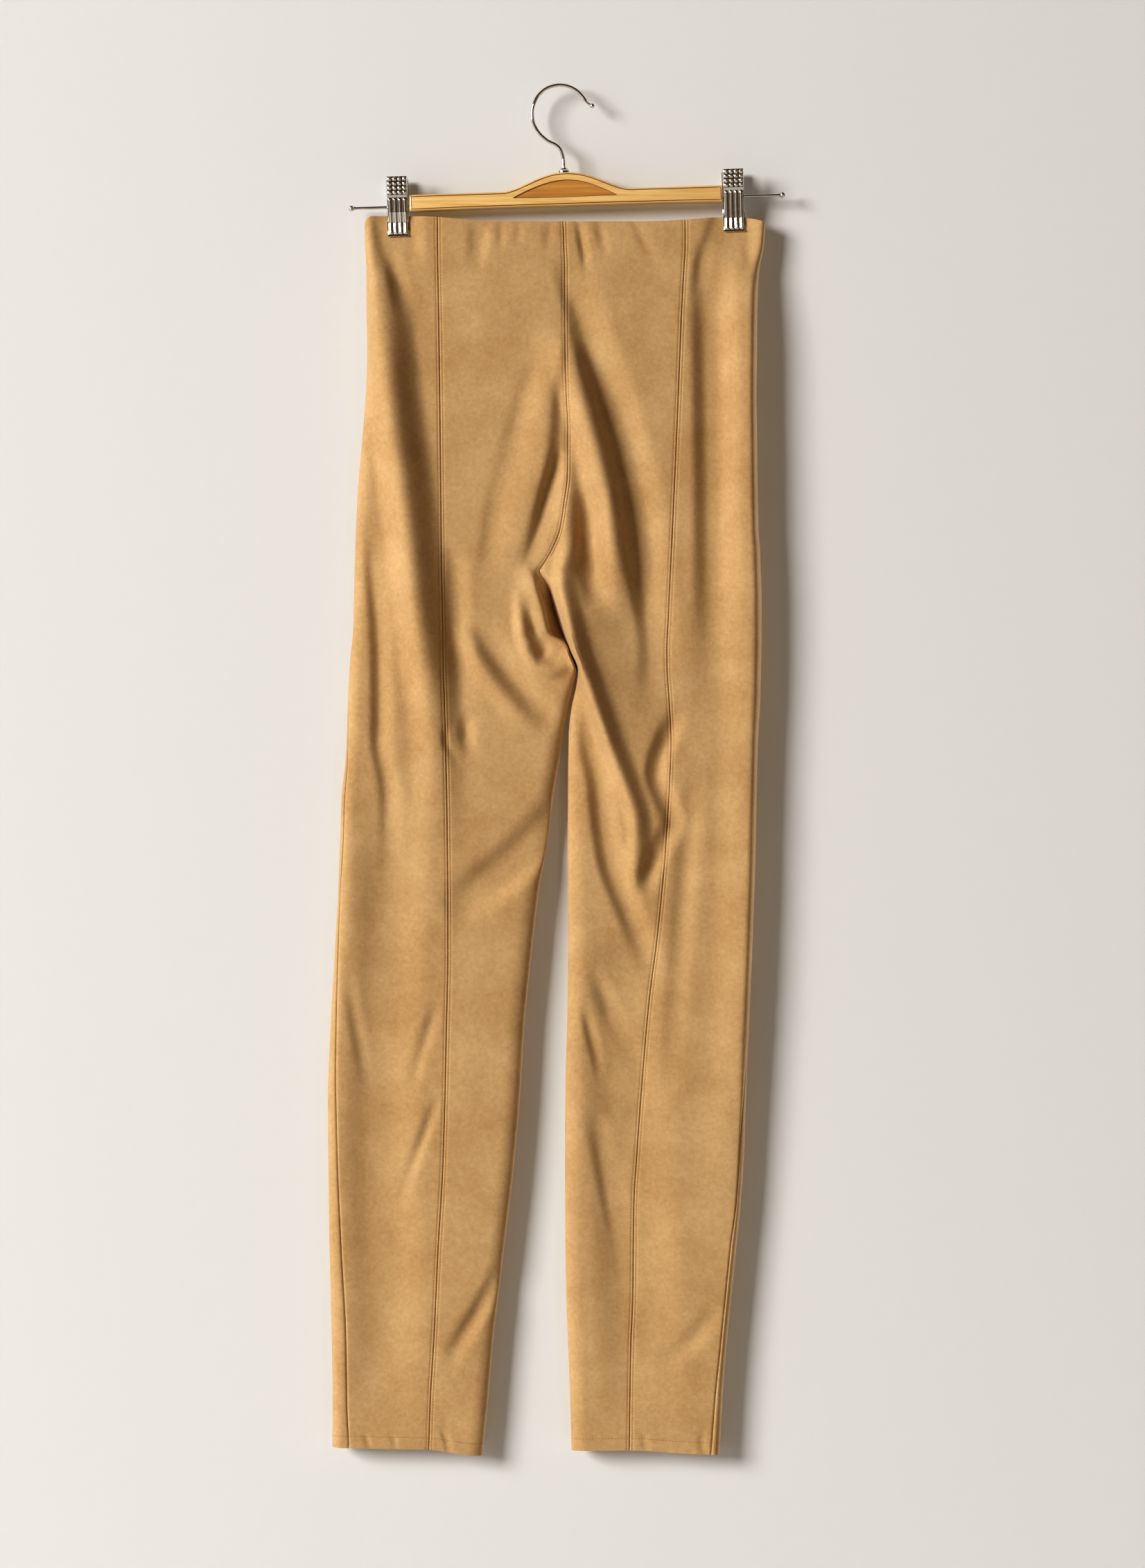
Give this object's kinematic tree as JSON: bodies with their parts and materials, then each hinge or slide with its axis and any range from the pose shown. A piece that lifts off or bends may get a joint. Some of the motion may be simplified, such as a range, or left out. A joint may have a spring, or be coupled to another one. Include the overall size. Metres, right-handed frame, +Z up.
{
  "type": "slim trousers on a clip hanger",
  "caption": "Slim full-length trousers in brushed suede-like cloth, hung by the waist edge from a wooden clip hanger with a wire hook.",
  "frame": {"origin": "inner top of the hanger's hook, where it hangs on a rail or wall hook", "axes": "+X to the right seen from the front, +Y away from the viewer towards the wall, +Z up"},
  "size_m": [0.3661, 0.0355, 1.1081],
  "materials": {
    "cloth": "brushed suede nap, matt",
    "wood": "pale varnished wood, satin",
    "chrome": "bright chromium plate"
  },
  "bodies": {
    "root": {"front_side_left": "cloth", "front_centre_left": "cloth", "back_left": "cloth", "front_side_right": "cloth", "front_centre_right": "cloth", "back_right": "cloth", "hook": "chrome", "collar": "chrome", "bar": "wood", "rod_left": "chrome", "rod_right": "chrome", "clip_left_front": "chrome", "clip_left_back": "chrome", "spring_left": "chrome", "clip_right_front": "chrome", "clip_right_back": "chrome", "spring_right": "chrome"}
  },
  "joints": []
}
